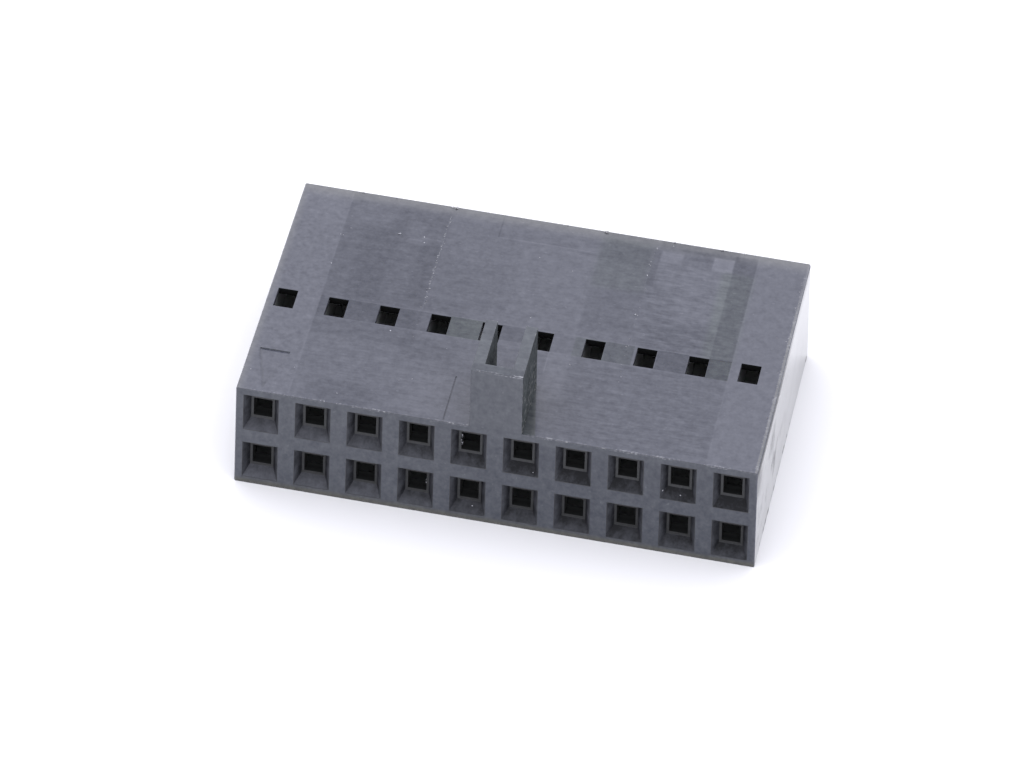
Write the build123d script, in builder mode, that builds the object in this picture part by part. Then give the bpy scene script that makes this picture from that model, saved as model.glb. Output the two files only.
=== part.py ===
from build123d import *
import os

# Crimp connector housing: two rows of ten circuits on a square grid, with a U-shaped
# polarising key. One moulding. X runs along the rows, Y from the mating face to the
# wire side, Z up. The origin is the middle of the footprint, on the underside.

# Circuit grid
columns = 10
rows = 2
pitch = 2.54

# Outer block, a little under the grid so that housings stand side by side
side_clearance = 0.05
stack_clearance = 0.05
body_width = columns * pitch - side_clearance
body_height = rows * pitch - stack_clearance
body_length = 15.0
corner_radius = 0.08

# Lead-in pyramid on the mating face, and the hole that guides a square post
mouth_width = 1.70
mouth_height = 1.83
floor_size = 1.16
recess_depth = 0.50
post_size = 0.64
post_clearance = 0.26
mating_wall = 1.10

# Terminal cavity, open at the wire side
cavity_size = 1.85
entry_flare = 0.10
entry_depth = 0.30

# Latch windows, one per circuit, off the middle of their cavities. Those of the end
# circuits lie a little further back than the rest.
window_width = 0.98
window_length = 1.29
window_setback = 6.56
window_offset = 0.33
end_window_shift = 0.08

# Polarising key: a U in plan, flush with the mating face, open to the rear and above
key_width = pitch
key_length = 3.60
key_height = 3.02
key_leg = 0.58
key_front = 0.56

# Engraved triangle that marks circuit 1
mark_width = 1.50
mark_length = 2.70
mark_setback = 0.30
mark_depth = 0.06

# Narrow groove that the mould's insert leaves beside the key, along Y
groove_offset = 2.57
groove_setback = 0.15
groove_length = 3.05
groove_width = 0.05
groove_depth = 0.03

# Placings that follow from the sizes above
mating_y = -body_length / 2
window_y = mating_y + window_setback
end_window_y = window_y + end_window_shift
end_columns = 2
inner_columns = columns - end_columns
end_spacing = (columns - 1) * pitch
first_column_x = -end_spacing / 2
row_inset = (body_height - (rows - 1) * pitch) / 2
circuit_axes = Plane(
    origin=(0, mating_y, body_height / 2), x_dir=(1, 0, 0), z_dir=(0, 1, 0)
)
top_face = Plane.XY.offset(body_height)

os.makedirs("parts", exist_ok=True)

# The space of one circuit, along +Z from the mating face to the wire side
with BuildPart() as circuit_space:
    with BuildSketch(Plane.XY):
        Rectangle(mouth_width, mouth_height)
    with BuildSketch(Plane.XY.offset(recess_depth)):
        Rectangle(floor_size, floor_size)
    loft()
    with BuildSketch(Plane.XY.offset(recess_depth)):
        Rectangle(post_size + post_clearance, post_size + post_clearance)
    extrude(amount=mating_wall - recess_depth)
    with BuildSketch(Plane.XY.offset(mating_wall)):
        Rectangle(cavity_size, cavity_size)
    extrude(amount=body_length - mating_wall)
    with BuildSketch(Plane.XY.offset(body_length - entry_depth)):
        Rectangle(cavity_size, cavity_size)
    with BuildSketch(Plane.XY.offset(body_length)):
        Rectangle(cavity_size + 2 * entry_flare, cavity_size + 2 * entry_flare)
    loft()

with BuildPart() as housing:
    # Outer block with its long edges and upright corners softened
    with BuildSketch(Plane.XY):
        Rectangle(body_width, body_length)
    extrude(amount=body_height)
    soft_edges = housing.edges().filter_by(Axis.X, reverse=True)
    fillet(soft_edges, radius=corner_radius)

    # Polarising key on the top face
    with BuildSketch(top_face):
        with Locations((0, mating_y)):
            Rectangle(key_width, key_length, align=(Align.CENTER, Align.MIN))
        with Locations((0, mating_y + key_front)):
            Rectangle(
                key_width - 2 * key_leg,
                key_length - key_front,
                align=(Align.CENTER, Align.MIN),
                mode=Mode.SUBTRACT,
            )
    extrude(amount=key_height)

    # Circuits, on the grid
    with Locations(circuit_axes):
        with GridLocations(pitch, pitch, columns, rows):
            add(circuit_space.part, mode=Mode.SUBTRACT)

    # Latch windows: the upper row's in the top face, the lower row's in the underside,
    # where each lies as if the pair were turned half round the row's middle line
    for face, side in ((top_face, -1), (Plane.XY, 1)):
        with BuildSketch(face):
            with Locations((side * window_offset, window_y)):
                with GridLocations(pitch, pitch, inner_columns, 1):
                    Rectangle(window_width, window_length)
            with Locations((side * window_offset, end_window_y)):
                with GridLocations(end_spacing, pitch, end_columns, 1):
                    Rectangle(window_width, window_length)
        extrude(amount=side * row_inset, mode=Mode.SUBTRACT)

    # Mark of circuit 1, pointing at the mating face
    with BuildSketch(top_face):
        with Locations((first_column_x, mating_y + mark_setback)):
            Polygon(
                (0, 0),
                (mark_width / 2, mark_length),
                (-mark_width / 2, mark_length),
                align=None,
            )
    extrude(amount=-mark_depth, mode=Mode.SUBTRACT)

    # Groove beside the key
    with BuildSketch(top_face):
        with Locations((-groove_offset, mating_y + groove_setback)):
            Rectangle(groove_width, groove_length, align=(Align.CENTER, Align.MIN))
    extrude(amount=-groove_depth, mode=Mode.SUBTRACT)

housing.part.label = "housing"
export_step(housing.part, "parts/housing.step")
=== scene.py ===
import math
import random

import bmesh
import bpy
from mathutils import Matrix, Vector


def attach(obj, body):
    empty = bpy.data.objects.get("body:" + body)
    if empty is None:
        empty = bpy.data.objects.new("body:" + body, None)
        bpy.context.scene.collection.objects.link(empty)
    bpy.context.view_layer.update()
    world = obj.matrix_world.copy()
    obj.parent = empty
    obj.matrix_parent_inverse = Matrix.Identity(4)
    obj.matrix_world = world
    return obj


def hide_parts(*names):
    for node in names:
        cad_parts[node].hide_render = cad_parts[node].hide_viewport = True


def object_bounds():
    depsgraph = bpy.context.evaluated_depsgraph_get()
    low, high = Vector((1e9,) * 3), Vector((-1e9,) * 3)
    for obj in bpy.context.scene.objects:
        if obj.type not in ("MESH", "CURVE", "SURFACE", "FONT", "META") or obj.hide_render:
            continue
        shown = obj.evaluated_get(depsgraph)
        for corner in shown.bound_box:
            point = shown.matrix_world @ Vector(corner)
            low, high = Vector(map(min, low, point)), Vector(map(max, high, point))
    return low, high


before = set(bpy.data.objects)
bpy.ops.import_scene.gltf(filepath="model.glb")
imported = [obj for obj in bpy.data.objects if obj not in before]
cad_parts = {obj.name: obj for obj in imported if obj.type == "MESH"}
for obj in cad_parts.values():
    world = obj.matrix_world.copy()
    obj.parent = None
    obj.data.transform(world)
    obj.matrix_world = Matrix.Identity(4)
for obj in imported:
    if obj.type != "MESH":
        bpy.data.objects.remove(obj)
cad_low, cad_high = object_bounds()

# Lengths are in millimetres of the row frame until a piece is finished, and metres after
MM = 0.001
BODY_TOP = 5.03
PITCH = 2.54
COLUMNS = 10
FIRST_COLUMN = -(COLUMNS - 1) * PITCH / 2
HALF_WIDTH = cad_high.x / MM
FACE = cad_low.y / MM
WIRE_SIDE = cad_high.y / MM
KEY_TOP = cad_high.z / MM
KEY_HALF = PITCH / 2
LEAD_IN = 0.50
MATING_WALL = 1.10
ROOF = 0.32

# Half the width of a circuit's cavity, with a little to spare, and of the mould's insert
CIRCUIT_HALF = 0.95
INSERT_HALF = 4 * PITCH

# How far the latch windows reach from the middle, along X and Y, with a little to spare
WINDOWS_X, WINDOWS_Y = 12.3, 2

# Heights between which the lower row of circuits gives way to the upper row
ROW_CHANGE = PITCH * 0.98, PITCH

# About where the narrow groove beside the key runs, and how far off it is looked for
GROOVE = -PITCH
GROOVE_SEARCH = 0.1

# How deep the groove and the mark are at most
SHALLOW = 0.08

# The engraved mark: its ends behind the mating face, how far its left side runs outwards to
# each millimetre back, and the width of the painted shadow line along that side
MARK_START, MARK_END = 0.3, 3.0
MARK_SLOPE = 0.278
MARK_SHADOW_LINE = 0.09

# Further out than this along X, a face belongs to an end of the block. Above this height
# the ends are dull.
END_REACH = HALF_WIDTH - 0.1
DULL_STRIP = 4.94

# How close to a surface the middle of an edge or a face lies that is on it, or near it
ON_SURFACE = 0.001
NEAR_SURFACE = 0.01

# The shell's rounded edges
SEAM = 0.004
FLAT_ANGLE = 0.01
SHARP_ANGLE = math.radians(40)
EDGE_ROUND = 0.03

# Tones of the upper face: name, low x, high x, low and high distance from the mating
# face, width of the soft border, and how much lighter or darker than the plain plastic
TONES = [
    ("insert", -10.16, 10.16, 0.0, 15.0, 0.06, -0.10),
    ("left_rear", -10.16, -5.10, 4.65, 14.5, 0.25, -0.12),
    ("left_rear_core", -8.9, -7.3, 7.3, 12.9, 0.9, -0.09),
    ("left_rear_edge", -6.15, -5.15, 7.6, 13.6, 0.3, -0.08),
    ("left_front_corner", -9.2, -6.2, 0.0, 1.5, 0.8, -0.15),
    ("left_insert_back", -9.9, -7.8, 12.6, 14.4, 0.8, 0.13),
    ("left_strip_back", -12.6, -10.2, 12.6, 14.9, 1.2, 0.08),
    ("middle_front", -5.6, -2.9, 3.9, 5.5, 0.6, -0.10),
    ("middle_rear", -5.0, -1.2, 8.2, 11.2, 1.2, -0.06),
    ("middle_light", -1.2, 2.45, 7.3, 13.35, 0.2, 0.05),
    ("right_rear", 2.45, 5.05, 8.0, 15.2, 0.25, -0.08),
    ("right_rear_column", 5.08, 5.42, 11.6, 14.3, 0.1, -0.15),
    ("right_streaks", 5.5, 9.05, 9.4, 13.3, 0.8, 0.09),
    ("right_far", 9.05, 10.14, 7.2, 14.7, 0.12, -0.20),
    ("left_patch", 5.45, 6.52, 13.44, 14.24, 0.14, 0.20),
    ("between_patches", 6.55, 8.0, 13.9, 14.6, 0.15, -0.10),
    ("right_patch", 8.02, 9.02, 13.40, 14.36, 0.10, 0.27),
    ("window_row_left", -10.1, -4.2, 5.89, 7.26, 0.05, -0.15),
    ("window_row_grey", -3.66, -2.0, 5.89, 7.26, 0.05, -0.24),
    ("window_row_key", -1.15, 0.5, 6.2, 7.26, 0.08, -0.17),
    ("window_row_right", 2.5, 5.4, 5.89, 7.26, 0.05, -0.10),
    ("window_row_column", 4.0, 5.4, 5.89, 7.26, 0.05, -0.13),
    ("window_row_dark", 6.55, 8.05, 5.89, 7.26, 0.05, -0.27),
    ("window_row_end", 9.05, 10.14, 5.89, 7.26, 0.05, -0.34),
    ("right_front", 2.5, 10.14, 0.2, 5.85, 0.2, -0.05),
    ("beside_window", 1.47, 2.6, 2.6, 5.9, 0.4, 0.14),
    ("behind_right_windows", 5.5, 9.05, 7.3, 9.3, 0.8, -0.11),
    ("behind_left_windows", -5.1, -3.0, 7.28, 8.3, 0.5, -0.11),
    ("beside_groove", -4.6, -1.3, 0.2, 3.0, 0.9, 0.10),
    ("left_rear_light", -6.9, -5.3, 12.0, 13.5, 0.6, 0.12),
    ("right_rear_dark", 2.6, 5.0, 13.0, 15.2, 0.5, -0.09),
    ("right_streaks_dark", 5.4, 6.7, 9.4, 11.7, 0.6, -0.09),
    ("right_back_dark", 5.3, 9.2, 14.4, 15.2, 0.2, -0.24),
    ("scratch_near", -6.85, -6.15, 12.14, 12.24, 0.12, 0.20),
    ("scratch_far", -6.2, -5.2, 12.34, 12.46, 0.12, 0.20),
    ("seam_line", -5.18, -5.12, 7.4, 14.3, 0.05, 0.12),
    ("rim_behind_windows", -10.0, 9.0, 7.24, 7.32, 0.04, 0.10),
    ("rim_before_windows", -9.6, 9.0, 5.84, 5.91, 0.04, 0.08),
    ("line_across", -2.57, 2.4, 13.32, 13.39, 0.05, 0.16),
    ("line_along", 1.40, 1.47, 4.5, 5.9, 0.05, 0.18),
    ("groove_trace", -2.62, -2.54, 13.3, 14.9, 0.05, -0.16),
    # Painted shade in the groove beside the key
    ("groove", -2.62, -2.53, 0.15, 3.2, 0.05, -0.22),
    ("insert_edge_left", -10.19, -10.11, 0.2, 14.9, 0.06, 0.10),
    ("insert_edge_right", 10.11, 10.19, 0.2, 14.9, 0.06, 0.06),
]

# Where the brushing shows more: as above, without a name
BRUSHING = [
    (5.3, 9.05, 7.3, 13.5, 0.6, 0.40),
    (2.5, 10.1, 0.3, 5.8, 0.6, 0.22),
    (-9.6, 2.4, 0.3, 5.8, 0.5, 0.10),
]

# How much the brushing shows elsewhere
BRUSHED_CONTRAST = 0.28

# Where the upper face is greener than elsewhere
GREENISH = [
    (-3.66, -1.5, 5.89, 7.26, 0.05, 0.9),
    (8.6, 10.14, 7.2, 13.4, 0.5, 0.5),
    (2.5, 5.4, 5.89, 7.26, 0.1, 0.4),
    (9.05, 10.14, 5.89, 7.26, 0.1, 0.8),
    (2.45, 5.05, 11.0, 14.6, 0.6, 0.35),
]

# Stretches of X in which the mating face's upper edge is frayed
FRAYED = [
    (-8.60, -8.30), (-7.85, -7.55), (-7.2, -5.65), (-2.15, -1.3),
    (2.3, 2.75), (5.75, 6.9), (7.8, 8.9), (10.0, 11.7),
]

# Rows of crumbs on the upper face: name, x, low and high distance from the mating face,
# spacing, the share that is there, and the smallest and largest size
CRUMB_ROWS = [
    ("left_seam", -5.15, 7.5, 14.3, 0.11, 0.72, 0.07, 0.16),
    ("left_seam_front", -5.15, 4.5, 7.4, 0.25, 0.35, 0.04, 0.07),
    ("right_seam", 5.05, 4.4, 14.4, 0.28, 0.45, 0.06, 0.13),
    ("right_edge", 12.54, 1.6, 13.6, 0.13, 0.60, 0.05, 0.13),
]

# Single crumbs on the upper face: x, distance from the mating face, size
CRUMBS = [
    (-7.38, 12.44, 0.24), (-7.30, 12.47, 0.14), (-6.11, 12.49, 0.13), (-6.05, 12.10, 0.09),
    (-9.75, 12.30, 0.10), (-10.14, 11.77, 0.14), (-10.02, 11.72, 0.09), (-10.15, 9.60, 0.09),
    (-6.32, 5.58, 0.10), (-10.25, 2.02, 0.08), (-7.89, 0.73, 0.10), (-6.09, 1.16, 0.07),
    (-5.19, 2.31, 0.09), (-4.60, 2.52, 0.07), (-3.43, 5.00, 0.08), (-12.28, 1.40, 0.08),
    (5.13, 14.33, 0.18), (5.11, 13.52, 0.13), (5.03, 12.33, 0.09), (5.07, 10.81, 0.08),
    (4.99, 9.45, 0.15), (5.06, 7.71, 0.15), (5.05, 6.50, 0.08), (5.08, 4.63, 0.10),
    (1.41, 11.77, 0.13), (-0.34, 12.39, 0.08), (2.58, 5.27, 0.16), (1.17, 4.11, 0.12),
    (5.89, 14.71, 0.09), (-3.12, 7.30, 0.10), (0.10, 8.05, 0.10), (11.95, 9.43, 0.08),
    (-8.52, 0.06, 0.09), (-8.43, 0.04, 0.14), (-8.36, 0.02, 0.10),
]

# Flakes in the circuits: x, distance from the mating face, height, size
FLAKES = [
    (-1.68, 0.47, 4.12, 0.10), (-1.66, 0.47, 4.00, 0.12), (-1.70, 0.47, 3.86, 0.09),
    (-1.67, 0.47, 3.72, 0.12), (-1.69, 0.47, 3.58, 0.09), (-3.37, 0.47, 1.40, 0.08),
    (-3.36, 0.47, 1.26, 0.09), (8.14, 0.10, 3.22, 0.10), (8.98, 0.12, 3.10, 0.08),
    (1.86, 0.10, 3.02, 0.07), (-1.05, 0.20, 0.62, 0.08),
]

# Nubs on the wire side's upper edge: x, size
NUBS = [
    (-5.04, 0.20), (-5.20, 0.12), (0.60, 0.09), (2.57, 0.20), (5.95, 0.10), (8.30, 0.12),
    (9.40, 0.10), (-8.00, 0.09), (-9.70, 0.10),
]

# Spacing of the small roughness on the wire side's and the left end's upper edges, and
# the share of it that is there
ROUGH_STEP = 0.13
ROUGH_SHARE = 0.6

# How many points make a crumb, and how many crumbs a nub
CRUMB_POINTS = 9
NUB_CRUMBS = 4

# The share of the torn bits that is there along a frayed stretch
BURR_SHARE = 0.6

# The darker and the paler colour of what was stretched thin, of the crumbs along the
# seams, and of the nubs
PALE = (0.10, 0.10, 0.115), (0.40, 0.405, 0.44)
SEAM_COLOURS = (0.11, 0.11, 0.125), (0.20, 0.205, 0.225)
NUB_COLOURS = (0.18, 0.18, 0.19), (0.34, 0.34, 0.35)

# Painted shade: how much darker than the plain plastic the mating face and the key's front are,
# turned from the light behind
FRONT_SHADE, KEY_FRONT_SHADE = -0.09, -0.02

# The band beside the key in which the upper face mirrors it: its width at the mating face,
# and how much it narrows to each millimetre back
LEE_WIDTH, LEE_NARROWING = 0.65, 0.18

# The colour that full grain adds
GRAIN_COLOUR = (0.11, 0.1125, 0.126)

# Camera: the photograph's viewing angle, with its upright axis leaned back, because the
# photograph was stretched upright by 9 to 8. The lens and the sensor are in millimetres,
# and the clipping distances in metres.
AZIMUTH, ELEVATION, ROLL = 10.307, 37.970, 1.955
DISTANCE = 494.8
AIM = Vector((-0.630, 0.0, 1.70))
LENS = 359.0
SENSOR = 36
CLIP = 0.01, 10
STRETCH = 9 / 8

# Half the floor's width in metres, and the plain light from all round
FLOOR_HALF = 3.0
FLOOR_COLOUR = (0.80, 0.80, 0.81, 1)
SKY_COLOUR = (1, 1, 1.06, 1)
SKY_STRENGTH = 1.7


class Recipe:
    """One material's nodes, with short calls for those it needs."""

    def __init__(self, name, roughness=0.5, specular=0.5):
        self.material = bpy.data.materials.new(name)
        self.material.use_nodes = True
        self.tree = self.material.node_tree
        self.shader = self.tree.nodes["Principled BSDF"]
        self.shader.inputs["Roughness"].default_value = roughness
        self.shader.inputs["Specular IOR Level"].default_value = specular
        place = self.node("ShaderNodeTexCoord")
        scaled = self.node("ShaderNodeVectorMath", operation="SCALE")
        self.feed(scaled.inputs[0], place.outputs["Object"])
        self.feed(scaled.inputs["Scale"], 1 / MM)
        self.place = scaled.outputs[0]
        self.x, self.y, self.z = self.split(self.place)
        self.back = self.math("SUBTRACT", self.y, FACE)
        self.facing = self.split(place.outputs["Normal"])

    def node(self, kind, **settings):
        made = self.tree.nodes.new(kind)
        for key, value in settings.items():
            setattr(made, key, value)
        return made

    def feed(self, socket, value):
        if isinstance(value, bpy.types.NodeSocket):
            self.tree.links.new(value, socket)
        else:
            socket.default_value = value

    def split(self, vector):
        made = self.node("ShaderNodeSeparateXYZ")
        self.feed(made.inputs[0], vector)
        return made.outputs

    def math(self, operation, *values):
        made = self.node("ShaderNodeMath", operation=operation)
        for socket, value in zip(made.inputs, values):
            self.feed(socket, value)
        return made.outputs[0]

    def times(self, first, *others):
        for other in others:
            first = self.math("MULTIPLY", first, other)
        return first

    def plus(self, base, value, factor):
        """The base with the value times the factor added."""
        return self.math("MULTIPLY_ADD", value, factor, base)

    def rise(self, value, start, end, low=0.0, high=1.0):
        """From low, below start, to high, above end, with a smooth change between them."""
        made = self.node("ShaderNodeMapRange", interpolation_type="SMOOTHSTEP")
        for socket, number in zip(made.inputs, (value, start, end, low, high)):
            self.feed(socket, number)
        return made.outputs[0]

    def band(self, value, low, high, soft):
        """1 between low and high and 0 elsewhere, with soft borders."""
        up = self.rise(value, low - soft / 2, low + soft / 2)
        down = self.rise(value, high - soft / 2, high + soft / 2)
        return self.math("SUBTRACT", up, down)

    def patches(self, rows, start=0.0):
        """Sum of soft-edged rectangles of the plan, each with its own weight."""
        total = start
        for x0, x1, y0, y1, soft, weight in rows:
            patch = self.times(self.band(self.x, x0, x1, soft), self.band(self.back, y0, y1, soft))
            total = self.plus(total, patch, weight)
        return total

    def noise(self, stretch, detail=2.0, shift=0.0):
        """Smooth noise from 0 to 1, with stretch waves to the millimetre, one number for all
        axes or one for each."""
        waves = stretch if isinstance(stretch, tuple) else (stretch, stretch, stretch)
        scaled = self.node("ShaderNodeVectorMath", operation="MULTIPLY_ADD")
        self.feed(scaled.inputs[0], self.place)
        self.feed(scaled.inputs[1], waves)
        self.feed(scaled.inputs[2], (shift, shift, shift))
        made = self.node("ShaderNodeTexNoise")
        self.feed(made.inputs["Vector"], scaled.outputs[0])
        self.feed(made.inputs["Scale"], 1.0)
        self.feed(made.inputs["Detail"], detail)
        return made.outputs[0]

    def swing(self, stretch, detail, shift, size):
        """Noise about nought, up to half of size either way."""
        return self.plus(-size / 2, self.noise(stretch, detail, shift), size)

    def mix(self, factor, first, second, blend="MIX"):
        made = self.node("ShaderNodeMix", data_type="RGBA", clamp_factor=True, blend_type=blend)
        self.feed(made.inputs["Factor"], factor)
        for socket, value in ((made.inputs[6], first), (made.inputs[7], second)):
            self.feed(socket, (*value, 1) if isinstance(value, tuple) else value)
        return made.outputs[2]

    def shade(self, amount, colour):
        """The colour with a neutral lightening or darkening, so that grain has no hue."""
        made = self.node("ShaderNodeVectorMath", operation="MULTIPLY_ADD")
        for socket, value in zip(made.inputs, (amount, GRAIN_COLOUR, colour)):
            self.feed(socket, value)
        return made.outputs[0]

    def colour(self, value):
        self.feed(self.shader.inputs["Base Color"], value)

    def bump(self, height, depth):
        made = self.node("ShaderNodeBump")
        self.feed(made.inputs["Height"], height)
        self.feed(made.inputs["Distance"], depth * MM)
        self.feed(self.shader.inputs["Normal"], made.outputs[0])


def frayed_edges(plastic):
    """Where an edge is frayed: the key's, the mating face's and the right end's."""
    near = plastic.rise(plastic.back, 0.02, 0.15, 1.0, 0.0)
    level = plastic.band(plastic.z, BODY_TOP - 0.05, BODY_TOP + 0.1, 0.06)
    stretch = 0.0
    for low, high in FRAYED:
        stretch = plastic.math("ADD", stretch, plastic.band(plastic.x, low, high, 0.1))
    stretch = plastic.plus(0.3, stretch, 0.6)
    beside_key = plastic.rise(plastic.math("ABSOLUTE", plastic.x), KEY_HALF, KEY_HALF + 0.05)
    mating = plastic.times(near, level, stretch, beside_key)
    key_level = plastic.rise(plastic.z, KEY_TOP - 0.10, KEY_TOP - 0.03)
    key = plastic.times(near, key_level, plastic.rise(plastic.x, -0.3, 1.2, 0.2, 1.0))
    gaps = plastic.noise((0.0, 0.8, 0.0), 2, 5.0)
    side = plastic.times(plastic.band(plastic.x, 12.50, 12.70, 0.08), plastic.rise(gaps, 0.4, 0.6))
    side = plastic.times(side, plastic.rise(plastic.z, BODY_TOP - 0.05, BODY_TOP - 0.02), 0.5)
    patchy = plastic.rise(plastic.noise(1.1, 2, 3.0), 0.35, 0.6)
    where = plastic.times(plastic.math("MAXIMUM", mating, side), patchy)
    where = plastic.math("MAXIMUM", where, plastic.times(key, 1.4))
    return plastic.times(where, plastic.rise(plastic.noise(8.0, 3, 8.0), 0.42, 0.64))


def upper_tone(plastic, above):
    """How light the upper face is, and where its rear and left rims and its right rim are."""
    tone = plastic.plus(0.46, plastic.noise(0.35, 3), 0.12)
    tone = plastic.plus(tone, plastic.patches([row[1:] for row in TONES]), above)
    rim = plastic.rise(plastic.back, 14.0, 15.0)
    rim = plastic.math("MAXIMUM", rim, plastic.rise(plastic.x, -12.7, -12.15, 0.75, 0.0))
    rim = plastic.times(rim, above)
    tone = plastic.plus(tone, rim, 0.48)
    side_rim = plastic.times(plastic.band(plastic.x, 12.54, 12.65, 0.06), above)
    side_rim = plastic.times(side_rim, plastic.rise(plastic.back, 10.0, 14.0, 1.0, 0.3))
    return plastic.plus(tone, side_rim, 0.6), rim, side_rim


def forward_tone(plastic, forward, tone):
    """The tone with painted shade and painted light on the forward faces added, and where the
    mating face's foot is.
    """
    low_down = plastic.rise(plastic.z, 4.4, 4.7, 1.0, 0.0)
    # Painted shade on the forward faces, less on the key's front, which stands higher
    front = plastic.rise(plastic.z, BODY_TOP, BODY_TOP + 0.1, FRONT_SHADE, KEY_FRONT_SHADE)
    tone = plastic.plus(tone, forward, front)
    # Painted light on the forward walls that lie further back, lifting them out of their shade
    further_back_light = plastic.times(forward, plastic.rise(plastic.back, 0.1, 0.3))
    tone = plastic.plus(tone, further_back_light, 0.35)
    to_the_right = plastic.times(plastic.rise(plastic.x, -4.5, 2.0), forward, low_down)
    tone = plastic.plus(tone, to_the_right, -0.08)
    foot = plastic.times(plastic.rise(plastic.z, 0.1, 0.35, 1.0, 0.0), forward)
    return plastic.plus(tone, foot, plastic.rise(plastic.x, -6.0, 4.0, 0.05, 0.14)), foot


def mark_and_key_tone(plastic, above, tone):
    """The tone, with a painted shadow along the mark's left side, darker on top of the key's front
    wall, and where the key's top is."""
    # Painted shadow of the mark's left wall, in a line along that side
    from_side = plastic.plus(plastic.x, plastic.back, MARK_SLOPE)
    beside = plastic.band(from_side, FIRST_COLUMN, FIRST_COLUMN + MARK_SHADOW_LINE, 0.05)
    mark_side_shadow = plastic.times(beside, plastic.band(plastic.back, MARK_START, MARK_END, 0.2))
    tone = plastic.plus(tone, plastic.times(mark_side_shadow, above), -0.14)
    key_end = plastic.times(plastic.rise(plastic.z, KEY_TOP - 0.2, KEY_TOP - 0.1), above)
    front_wall = plastic.rise(plastic.back, 0.4, 0.6, 1.0, 0.0)
    return plastic.plus(tone, plastic.times(key_end, front_wall), -0.18), key_end


def moulded_texture(plastic, above, level, forward):
    """Brushing, blotches, grain and flecks together, then the brushing and the grain."""
    brushed = plastic.times(level, plastic.band(plastic.x, -INSERT_HALF, INSERT_HALF, 0.05))
    contrast = plastic.patches(BRUSHING, BRUSHED_CONTRAST)
    wide = plastic.noise((0.7, 3.4, 1.0), 3, 4.0)
    fine = plastic.swing((1.5, 8.0, 3.0), 2, 2.0, 0.7)
    streaks = plastic.math("ADD", wide, fine)
    brushing = plastic.times(plastic.math("SUBTRACT", streaks, 0.5), brushed, contrast)
    texture = plastic.math("ADD", brushing, plastic.swing(2.4, 4, 14.0, 0.50))
    grain = plastic.noise(6.5, 2, 9.0)
    texture = plastic.plus(texture, plastic.math("SUBTRACT", grain, 0.5), 0.30)
    left_strip = plastic.rise(plastic.x, -INSERT_HALF, -INSERT_HALF + 0.05, 1.0, 0.0)
    left = plastic.times(above, left_strip)
    texture = plastic.plus(texture, plastic.swing(4.0, 3, 21.0, 0.5), left)
    flecks = plastic.rise(plastic.noise((4.0, 8.0, 4.0), 1, 6.0), 0.68, 0.80)
    flecks = plastic.times(flecks, plastic.math("MAXIMUM", level, forward))
    return plastic.plus(texture, flecks, 0.24), brushing, grain


def mirrored_key(plastic, above):
    """Where the upper face mirrors the key, to the right of it."""
    out = plastic.math("SUBTRACT", plastic.x, KEY_HALF)
    width = plastic.plus(LEE_WIDTH, plastic.back, -LEE_NARROWING)
    past = plastic.math("SUBTRACT", out, width)
    return plastic.times(
        above, plastic.rise(out, -0.03, -0.01), plastic.rise(past, -0.04, 0.04, 1.0, 0.0)
    )


def moulded_plastic():
    """The outer surfaces: brushed where the mould's insert was, smoother on both ends."""
    plastic = Recipe("moulded_plastic", 0.2)
    above = plastic.rise(plastic.facing[2], 0.6, 0.9)
    level = plastic.rise(plastic.math("ABSOLUTE", plastic.facing[2]), 0.6, 0.9)
    forward = plastic.rise(plastic.facing[1], -0.9, -0.6, 1.0, 0.0)
    tone, rim, side_rim = upper_tone(plastic, above)
    tone, foot = forward_tone(plastic, forward, tone)
    tone, key_end = mark_and_key_tone(plastic, above, tone)
    texture, brushing, grain = moulded_texture(plastic, above, level, forward)

    colour = plastic.mix(tone, (0.0032, 0.0068, 0.0212), (0.1128, 0.1174, 0.1458))
    colour = plastic.shade(texture, colour)
    green = plastic.times(plastic.patches(GREENISH), above)
    green = plastic.math("MAXIMUM", green, plastic.times(forward, 0.25))
    green = plastic.math("MAXIMUM", green, plastic.times(key_end, 0.4))
    colour = plastic.mix(green, colour, (1.0, 1.16, 0.86), "MULTIPLY")
    colour = plastic.mix(forward, colour, (1.01, 0.985, 0.945), "MULTIPLY")
    # Painted reflection: the key's image in the upper face, tinted darker and yellower
    key_reflection = mirrored_key(plastic, above)
    colour = plastic.mix(key_reflection, colour, (0.92, 0.95, 0.76), "MULTIPLY")
    rims = plastic.math("MAXIMUM", rim, side_rim)
    colour = plastic.mix(rims, colour, (1.0, 0.98, 0.84), "MULTIPLY")
    colour = plastic.mix(foot, colour, (1.06, 0.98, 0.74), "MULTIPLY")
    plastic.colour(plastic.mix(frayed_edges(plastic), colour, (0.28, 0.285, 0.31)))
    plastic.bump(plastic.plus(grain, brushing, 3.0), 0.0025)
    return plastic.material


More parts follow.
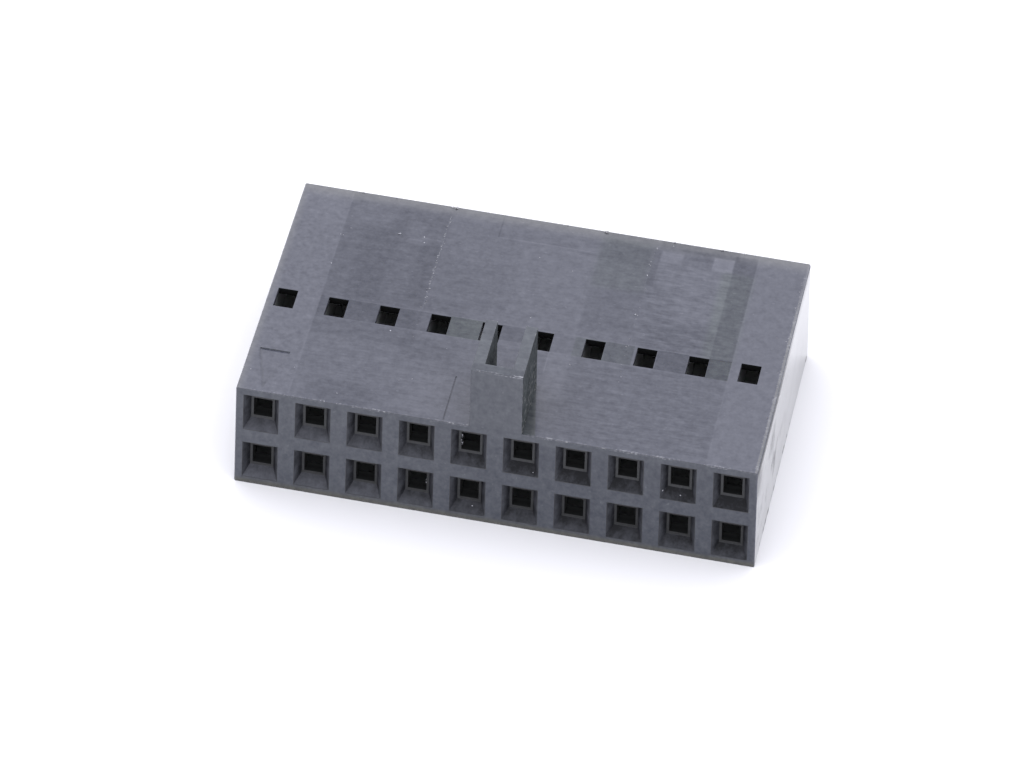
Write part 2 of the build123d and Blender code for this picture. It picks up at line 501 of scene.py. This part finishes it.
def end_plastic():
    """Both ends of the block: polished by the mould, duller below the upper edge."""
    plastic = Recipe("end_plastic")
    plastic.shader.inputs["IOR"].default_value = 1.55
    plastic.shader.inputs["Coat Roughness"].default_value = 0.04
    clouds = plastic.noise((0.5, 0.5, 0.8), 3, 3.0)
    edge = plastic.rise(plastic.z, 4.3, 4.8)
    front = plastic.rise(plastic.back, 4.0, 12.0, 1.0, 0.3)
    smudges = plastic.rise(plastic.noise((0.0, 0.5, 0.8), 4, 6.0), 0.48, 0.72)
    smudges = plastic.times(smudges, plastic.rise(plastic.back, 6.0, 9.0, 0.6, 0.1))
    corner = plastic.rise(plastic.back, 0.6, 2.2, 0.6, 0.0)
    corner = plastic.times(corner, plastic.rise(plastic.z, 2.8, 4.0))
    dull = plastic.times(edge, front)
    dull = plastic.math("MAXIMUM", dull, plastic.math("MAXIMUM", smudges, corner))
    # Darker, duller blotches towards the foot
    low_blotches = plastic.rise(plastic.noise(2.5, 3, 9.0), 0.50, 0.60)
    low_blotches = plastic.times(low_blotches, plastic.rise(plastic.z, 0.1, 0.35, 1.0, 0.0))
    dull = plastic.math("MAXIMUM", dull, low_blotches)
    tone = plastic.plus(clouds, dull, -0.5)
    plastic.colour(plastic.mix(tone, (0.03, 0.031, 0.036), (0.10, 0.105, 0.12)))
    rough = plastic.rise(clouds, 0.3, 0.7, 0.04, 0.12)
    rough = plastic.plus(rough, dull, 0.45)
    plastic.feed(plastic.shader.inputs["Roughness"], rough)
    coat = plastic.plus(0.8, dull, -0.8)
    coat = plastic.times(coat, plastic.rise(plastic.back, 9.5, 13.0, 1.0, 0.84))
    plastic.feed(plastic.shader.inputs["Coat Weight"], coat)
    plastic.bump(plastic.noise(5.0, 2, 1.0), 0.0006)
    return plastic.material


def lead_in_plastic_painted_shading():
    """The lead-ins' sloping walls, a little different in each circuit, with painted shade deeper
    in, and the left wall of each window, with painted light."""
    plastic = Recipe("lead_in_plastic_painted_shading", specular=0.14)
    cell = plastic.node("ShaderNodeCombineXYZ")
    column = plastic.math("ROUND", plastic.plus(-0.5, plastic.x, 1 / PITCH))
    plastic.feed(cell.inputs[0], column)
    plastic.feed(cell.inputs[1], plastic.rise(plastic.z, *ROW_CHANGE))
    chance = plastic.node("ShaderNodeTexWhiteNoise", noise_dimensions="3D")
    plastic.feed(chance.inputs["Vector"], cell.outputs[0])
    grain = plastic.noise(9.0, 2, 5.0)
    upward = plastic.rise(plastic.facing[2], 0.3, 0.6)
    across = plastic.rise(plastic.x, -12.0, 4.0, 0.28, -0.30)
    across = plastic.math("ADD", across, plastic.rise(plastic.z, *ROW_CHANGE, 0.15, 0.0))
    # Painted shade: darker deeper into the lead-in, less so on the walls that face up
    inner = plastic.rise(upward, 0.0, 1.0, -0.30, -0.14)
    depth = plastic.rise(plastic.back, 0.05, 0.5, 0.10, inner)
    # Painted light on each window's left wall, lit through the window
    depth = plastic.math("ADD", depth, plastic.rise(plastic.back, 5.5, 6.0, 0.0, 1.2))
    tone = plastic.plus(plastic.math("ADD", depth, 0.32), across, upward)
    tone = plastic.math("ADD", tone, plastic.swing(2.2, 4, 0.0, 1.1))
    tone = plastic.plus(tone, plastic.math("SUBTRACT", grain, 0.5), 0.5)
    tone = plastic.plus(tone, chance.outputs["Value"], 0.12)
    plastic.colour(plastic.mix(tone, (0.007, 0.0075, 0.0095), (0.065, 0.068, 0.080)))
    plastic.bump(grain, 0.008)
    return plastic.material


def ledge_plastic():
    """The flat ledge round each post hole, darker in the lower row."""
    plastic = Recipe("ledge_plastic", 0.45)
    grain = plastic.noise(7.0, 3, 7.0)
    lower_row = plastic.rise(plastic.x, -3.0, 3.0, -0.28, -0.42)
    tone = plastic.math("ADD", grain, plastic.rise(plastic.z, 1.8, 3.2, lower_row, 0.0))
    plastic.colour(plastic.mix(tone, (0.005, 0.006, 0.007), (0.0315, 0.0335, 0.0365)))
    plastic.bump(grain, 0.004)
    return plastic.material


def cavity_plastic_painted_light():
    """The post holes, the cavities and the windows' other walls, dull and dark, with painted
    light.
    """
    plastic = Recipe("cavity_plastic_painted_light", 0.7, specular=0.05)
    # Painted light for what gets in through the windows and the camera's flare: paler deeper in,
    # more
    # in the lower row and on walls facing +X, less towards the wire side
    post_hole_light = plastic.rise(plastic.back, 0.75, MATING_WALL, 0.017, 0.065)
    near = plastic.rise(plastic.z, *ROW_CHANGE, 0.72, 0.32)
    left = plastic.rise(plastic.facing[0], 0.5, 0.9, 0.55, 1.0)
    cavity = plastic.rise(plastic.back, 3.5, 5.0, near, left)
    cavity = plastic.times(cavity, plastic.rise(plastic.back, 9.0, 13.0, 1.0, 0.3))
    tone = plastic.rise(plastic.back, MATING_WALL, MATING_WALL + 0.2, post_hole_light, cavity)
    tone = plastic.times(tone, plastic.band(plastic.z, ROOF, BODY_TOP - ROOF, 0.02))
    plastic.colour(plastic.mix(tone, (0.006, 0.0065, 0.0065), (0.36, 0.375, 0.375)))
    plastic.bump(plastic.noise(5.0, 3, 5.0), 0.006)
    return plastic.material


def rough_plastic():
    """The side walls of the key, which the cutter left rough, and the top of both ends."""
    plastic = Recipe("rough_plastic", 0.8, specular=0.1)
    grain = plastic.noise(5.0, 3, 2.0)
    specks = plastic.rise(plastic.noise(6.0, 1, 11.0), 0.56, 0.66)
    specks = plastic.times(specks, plastic.rise(plastic.z, 6.6, 7.4, 0.7, 0.15))
    inner = plastic.rise(plastic.math("ABSOLUTE", plastic.x), 1.0, 1.1, 0.25, 0.0)
    blotches = plastic.swing(1.4, 2, 17.0, 0.9)
    tone = plastic.math("ADD", plastic.math("ADD", grain, blotches), inner)
    colour = plastic.mix(tone, (0.008, 0.010, 0.011), (0.066, 0.075, 0.080))
    plastic.colour(plastic.mix(specks, colour, (0.16, 0.165, 0.165)))
    plastic.bump(grain, 0.02)
    return plastic.material


def edge_plastic():
    """The rounded edges, with pale specks where they were knocked or frayed."""
    plastic = Recipe("edge_plastic", 0.45)
    specks = plastic.noise(6.0, 2, 8.0)
    places = plastic.noise(0.8, 2, 12.0)
    worn = plastic.times(plastic.rise(specks, 0.5, 0.7), plastic.rise(places, 0.45, 0.65))
    plastic.colour(plastic.mix(worn, (0.045, 0.049, 0.062), (0.36, 0.36, 0.37)))
    plastic.bump(specks, 0.008)
    return plastic.material


def frayed_plastic(name, dark, pale):
    """Flash and crumbs, paler where the plastic was stretched thin."""
    plastic = Recipe(name)
    patches = plastic.rise(plastic.noise(4.0, 2), 0.35, 0.65)
    plastic.colour(plastic.mix(patches, dark, pale))
    plastic.bump(plastic.noise(12.0, 2, 3.0), 0.01)
    return plastic.material


FINISHES = {
    "moulded": moulded_plastic,
    "end": end_plastic,
    "lead_in": lead_in_plastic_painted_shading,
    "ledge": ledge_plastic,
    "cavity": cavity_plastic_painted_light,
    "rough": rough_plastic,
    "edge": edge_plastic,
}


def in_circuit(point):
    """True for a point within a circuit's mouth or cavity, seen along Y."""
    column = (point.x - FIRST_COLUMN) / PITCH
    row = (point.z - (BODY_TOP - PITCH) / 2) / PITCH
    beside = abs(column - round(column)) * PITCH < CIRCUIT_HALF
    level = abs(row - round(row)) * PITCH < CIRCUIT_HALF
    return beside and level and 0 < point.z < BODY_TOP


def on_end(face):
    """True for a face at either end of the block."""
    return abs(face.normal.x) > 0.9 and abs(face.calc_center_median().x) > END_REACH


def finish_of(face):
    """The finish of one face of the shell, by where it lies."""
    centre, normal = face.calc_center_median(), face.normal
    inside = FACE + ON_SURFACE < centre.y < WIRE_SIDE - ON_SURFACE
    if inside and in_circuit(centre):
        if centre.y > FACE + LEAD_IN + NEAR_SURFACE:
            return "cavity"
        return "lead_in" if normal.y > -0.9 else "ledge"
    in_roof = ROOF > min(centre.z, BODY_TOP - centre.z) > EDGE_ROUND
    at_windows = abs(centre.x) < END_REACH and abs(centre.y) < WINDOWS_Y
    if inside and in_roof and at_windows and abs(normal.z) < 0.3:
        return "lead_in" if normal.x > 0.5 else "cavity"
    if centre.z > BODY_TOP and abs(normal.x) > 0.5:
        return "rough"
    if on_end(face):
        return "rough" if centre.z > DULL_STRIP else "end"
    return "moulded"


def stays_sharp(edge):
    """True for the edges that aren't rounded: marks, windows, inner ends of post holes."""
    middle = (edge.verts[0].co + edge.verts[1].co) / 2
    hole_end = abs(middle.y - FACE - MATING_WALL) < NEAR_SURFACE
    shallow = BODY_TOP - SHALLOW < middle.z < BODY_TOP + NEAR_SURFACE
    shallow = shallow and middle.y > FACE + 0.1
    first_circuit = middle.x < FIRST_COLUMN + PITCH / 2 and abs(middle.x) < HALF_WIDTH - 0.2
    mark = shallow and first_circuit and middle.y < 0
    groove = shallow and abs(middle.x - GROOVE) < GROOVE_SEARCH
    at_surface = min(middle.z, BODY_TOP - middle.z) < 0.05
    window = at_surface and abs(middle.x) < WINDOWS_X and abs(middle.y) < WINDOWS_Y
    return hole_end or mark or groove or window


def add_object(name, data):
    made = bpy.data.objects.new(name, data)
    bpy.context.scene.collection.objects.link(made)
    return made


def to_piece(bm, name, materials, smooth=False):
    """Ends the making of a piece: into metres, riding on the body, with its finish."""
    bmesh.ops.scale(bm, vec=(MM, MM, MM), verts=bm.verts)
    mesh = bpy.data.meshes.new(name)
    bm.to_mesh(mesh)
    bm.free()
    for material in materials:
        mesh.materials.append(material)
    piece = add_object(name, mesh)
    if smooth:
        mesh.shade_smooth()
        piece.modifiers.new("flat_faces", "WEIGHTED_NORMAL").keep_sharp = True
    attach(piece, "root")
    return piece


def housing_shell(node):
    """The CAD solid's own form, with its sharp edges slightly rounded."""
    bm = bmesh.new()
    bm.from_mesh(node.data)
    bmesh.ops.scale(bm, vec=(1 / MM, 1 / MM, 1 / MM), verts=bm.verts)
    bmesh.ops.remove_doubles(bm, verts=bm.verts, dist=SEAM)
    bmesh.ops.dissolve_limit(bm, angle_limit=FLAT_ANGLE, verts=bm.verts, edges=bm.edges)
    ends = [face for face in bm.faces if on_end(face)]
    parts = {part for face in ends for part in (face, *face.edges, *face.verts)}
    bmesh.ops.bisect_plane(
        bm, geom=list(parts), dist=SEAM, plane_co=(0, 0, DULL_STRIP), plane_no=(0, 0, 1)
    )
    sharp = [e for e in bm.edges if e.calc_face_angle(0) > SHARP_ANGLE and not stays_sharp(e)]
    rounded = bmesh.ops.bevel(
        bm, geom=sharp, offset=EDGE_ROUND, offset_type="OFFSET", segments=2, profile=0.5,
        affect="EDGES", clamp_overlap=True,
    )
    for edge in bm.edges:
        edge.smooth = edge.calc_face_angle(0) < SHARP_ANGLE
    order = list(FINISHES)
    for face in bm.faces:
        face.material_index = order.index(finish_of(face))
    for face in rounded["faces"]:
        if finish_of(face) == "moulded":
            centre = face.calc_center_median()
            foot = abs(centre.x) < KEY_HALF + 0.1 and abs(centre.z - BODY_TOP) < 0.1
            face.material_index = order.index("rough" if foot else "edge")
    shell = to_piece(bm, "housing_shell", [make() for make in FINISHES.values()], smooth=True)
    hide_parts("housing")


def crumb(bm, chance, centre, size, flat=0.55):
    """A crumb of plastic: the hull of a few points strewn over a flattened ball."""
    reach = size / 2
    centre.x = max(min(centre.x, HALF_WIDTH - reach), reach - HALF_WIDTH)
    centre.y = max(min(centre.y, WIRE_SIDE - reach), FACE + reach)
    corners = []
    for _ in range(CRUMB_POINTS):
        away = Vector([chance.gauss(0, 1) for _ in range(3)]).normalized()
        away.z *= flat
        corners.append(bm.verts.new(centre + away * reach * chance.uniform(0.55, 1)))
    hull = bmesh.ops.convex_hull(bm, input=corners)
    spare = set(hull["geom_interior"] + hull["geom_unused"])
    spare = [item for item in spare if isinstance(item, bmesh.types.BMVert)]
    bmesh.ops.delete(bm, geom=spare, context="VERTS")


def mould_flash():
    """Pale crumbs that the mould's seams left on the upper face and in the circuits."""
    bm = bmesh.new()
    chance = random.Random(11)
    for _, x, low, high, spacing, share, small, large in CRUMB_ROWS:
        for step in range(int((high - low) / spacing)):
            size = chance.uniform(small, large)
            sideways, along = chance.gauss(0, 0.04), chance.uniform(0, spacing)
            if chance.random() < share:
                spot = Vector((x + sideways, FACE + low + step * spacing + along, BODY_TOP))
                crumb(bm, chance, spot, size, 0.4)
    # The rows are of the second plastic, and what comes after them of the first
    for face in bm.faces:
        face.material_index = 1
    for x, back, size in CRUMBS:
        crumb(bm, chance, Vector((x, FACE + back, BODY_TOP)), size)
    for x, back, height, size in FLAKES:
        crumb(bm, chance, Vector((x, FACE + back, height)), size, 1.0)
    seam_plastic = frayed_plastic("seam_plastic", *SEAM_COLOURS)
    to_piece(bm, "mould_flash", [frayed_plastic("flash_plastic", *PALE), seam_plastic])


def edge_burrs():
    """Torn bits along the mating face's upper edge, where it is frayed."""
    bm = bmesh.new()
    chance = random.Random(23)
    for low, high in FRAYED:
        x = low
        while x < high:
            size = chance.uniform(0.04, 0.09)
            if chance.random() < BURR_SHARE:
                back, down = chance.uniform(0, 0.06), chance.uniform(0, 0.03)
                crumb(bm, chance, Vector((x, FACE + back, BODY_TOP - down)), size, 0.8)
            x += size * chance.uniform(0.6, 1.6)
    to_piece(bm, "edge_burrs", [frayed_plastic("burr_plastic", *PALE)])


def edge_nubs():
    """Nubs on the upper edges at the wire side and the left, where the mould's parts met."""
    bm = bmesh.new()
    chance = random.Random(5)
    for x, size in NUBS:
        for _ in range(NUB_CRUMBS):
            spot = Vector((x + chance.uniform(-size, size) / 2, WIRE_SIDE, BODY_TOP + size / 8))
            crumb(bm, chance, spot, size, 0.8)
    for step in range(int(2 * HALF_WIDTH / ROUGH_STEP)):
        if chance.random() < ROUGH_SHARE:
            x = step * ROUGH_STEP - HALF_WIDTH + chance.uniform(0, ROUGH_STEP)
            crumb(bm, chance, Vector((x, WIRE_SIDE, BODY_TOP)), chance.uniform(0.03, 0.09))
    for step in range(int((WIRE_SIDE - FACE) / ROUGH_STEP)):
        if chance.random() < ROUGH_SHARE:
            y = step * ROUGH_STEP + FACE + chance.uniform(0, ROUGH_STEP)
            crumb(bm, chance, Vector((-HALF_WIDTH, y, BODY_TOP)), chance.uniform(0.03, 0.08))
    to_piece(bm, "edge_nubs", [frayed_plastic("nub_plastic", *NUB_COLOURS)])


def place_camera():
    """The camera. Its lean is in the matrix to its parent: its own place and turn hold none."""
    azimuth, elevation, roll = (math.radians(v) for v in (AZIMUTH, ELEVATION, ROLL))
    back = Vector((
        math.sin(azimuth) * math.cos(elevation),
        -math.cos(azimuth) * math.cos(elevation),
        math.sin(elevation),
    ))
    level = Vector((0, 0, 1)).cross(back).normalized()
    upright = back.cross(level)
    right = math.cos(roll) * level + math.sin(roll) * upright
    up = math.cos(roll) * upright - math.sin(roll) * level
    lean = math.acos(1 / STRETCH)
    leaned = math.cos(lean) * up + math.sin(lean) * back
    matrix = Matrix((right, leaned, back)).transposed().to_4x4()
    matrix.translation = (AIM + back * DISTANCE) * MM
    data = bpy.data.cameras.new("camera")
    data.lens = LENS
    data.sensor_width = SENSOR
    data.clip_start, data.clip_end = CLIP
    camera = add_object("camera", data)
    camera.parent = add_object("camera_stand", None)
    camera.matrix_parent_inverse = matrix
    bpy.context.scene.camera = camera


def floor():
    """The white surface on which the housing lies."""
    mesh = bpy.data.meshes.new("floor")
    turns = ((-1, -1), (1, -1), (1, 1), (-1, 1))
    corners = [(FLOOR_HALF * x, FLOOR_HALF * y, 0) for x, y in turns]
    mesh.from_pydata(corners, [], [(0, 1, 2, 3)])
    plane = add_object("floor", mesh)
    material = bpy.data.materials.new("floor")
    material.use_nodes = True
    shader = material.node_tree.nodes["Principled BSDF"]
    shader.inputs["Base Color"].default_value = FLOOR_COLOUR
    shader.inputs["Roughness"].default_value = 0.9
    shader.inputs["Specular IOR Level"].default_value = 0.0
    plane.data.materials.append(material)


def sky():
    """Plain light from all round."""
    world = bpy.data.worlds.new("world")
    world.use_nodes = True
    background = world.node_tree.nodes["Background"]
    background.inputs[0].default_value = SKY_COLOUR
    background.inputs[1].default_value = SKY_STRENGTH
    bpy.context.scene.world = world


housing_shell(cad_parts["housing"])
mould_flash()
edge_burrs()
edge_nubs()
place_camera()
floor()
sky()
bpy.context.scene.view_settings.view_transform = "Standard"
